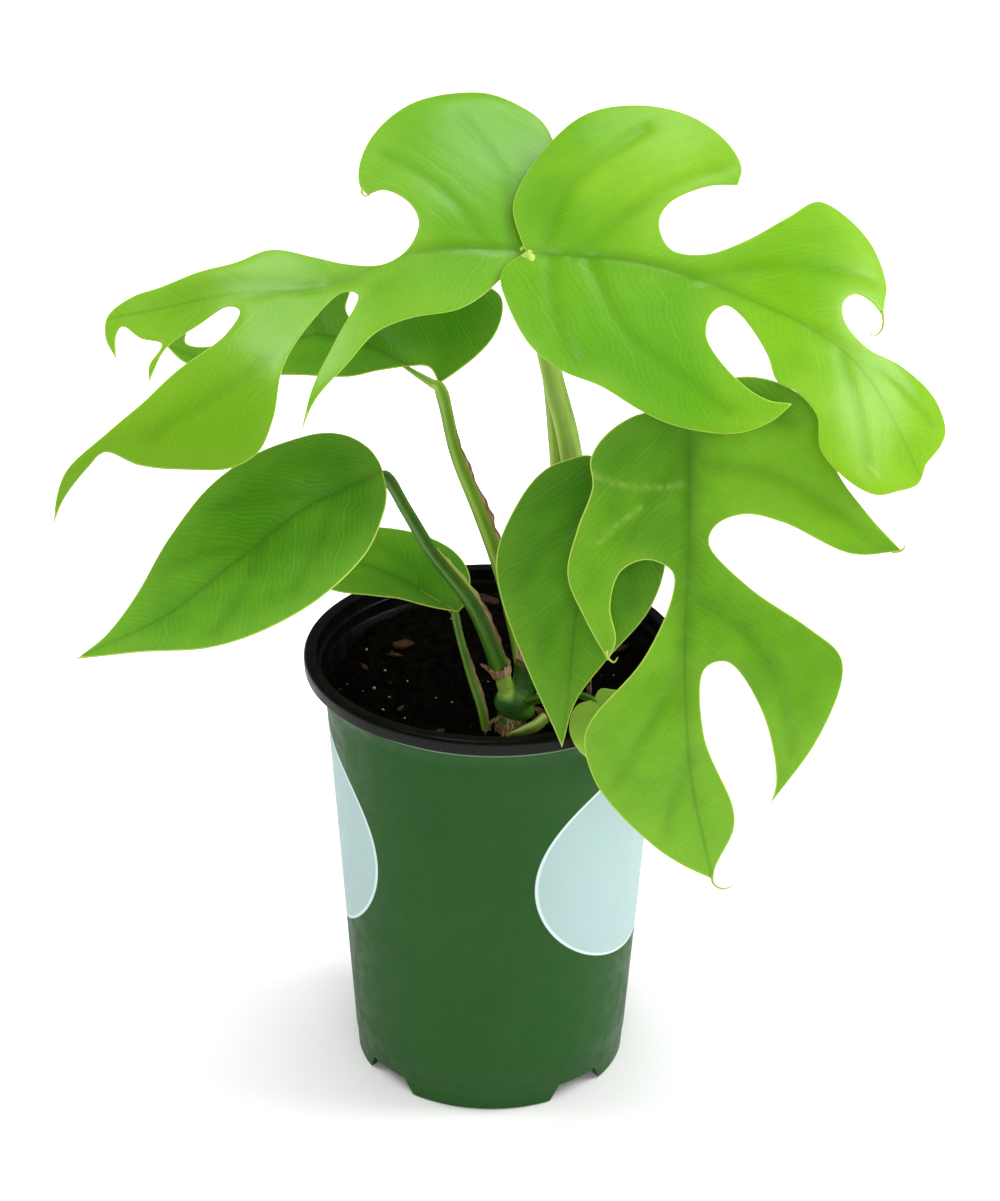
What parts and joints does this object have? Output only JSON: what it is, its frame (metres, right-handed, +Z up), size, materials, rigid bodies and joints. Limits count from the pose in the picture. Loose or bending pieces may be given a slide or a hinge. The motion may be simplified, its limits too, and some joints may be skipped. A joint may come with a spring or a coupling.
{
  "type": "potted rhaphidophora tetrasperma",
  "caption": "Potted rhaphidophora tetrasperma: lobed and plain green leaves on long petioles from a short stem, in a round green nursery pot with a black lip, standing on its feet.",
  "frame": {"origin": "middle of the bounding box's footprint, on the surface that the pot's feet stand on", "axes": "+Z up the pot; the plant is seen from the front looking along +Y, with +X to the right"},
  "size_m": [0.2434, 0.1318, 0.286],
  "materials": {
    "pot_plastic": "satin",
    "potting_mix": "matte",
    "stem_green": "satin",
    "leaf_bright": "satin",
    "leaf_deep": "satin",
    "dry_sheath": "matte",
    "root_bark": "matte"
  },
  "bodies": {
    "root": {"nursery_pot": "pot_plastic", "potting_soil": "potting_mix", "main_stem": "stem_green", "petiole_upper_right": "stem_green", "leaf_upper_right": "leaf_bright", "petiole_upper_left": "stem_green", "leaf_upper_left": "leaf_bright", "petiole_rear_left": "stem_green", "leaf_rear_left": "leaf_deep", "petiole_front_left": "stem_green", "leaf_front_left": "leaf_deep", "petiole_low_left": "stem_green", "leaf_low_left": "leaf_deep", "petiole_centre": "stem_green", "leaf_centre": "leaf_bright", "petiole_lower_right": "stem_green", "leaf_lower_right": "leaf_bright", "petiole_rim_right": "stem_green", "leaf_rim_right": "leaf_bright", "collar_lower": "dry_sheath", "collar_upper": "dry_sheath", "sheath_front_left": "dry_sheath", "sheath_rear_left": "dry_sheath", "sheath_low_left": "dry_sheath", "new_shoot": "stem_green", "aerial_root_1": "root_bark", "aerial_root_2": "root_bark", "aerial_root_3": "root_bark"}
  },
  "joints": []
}
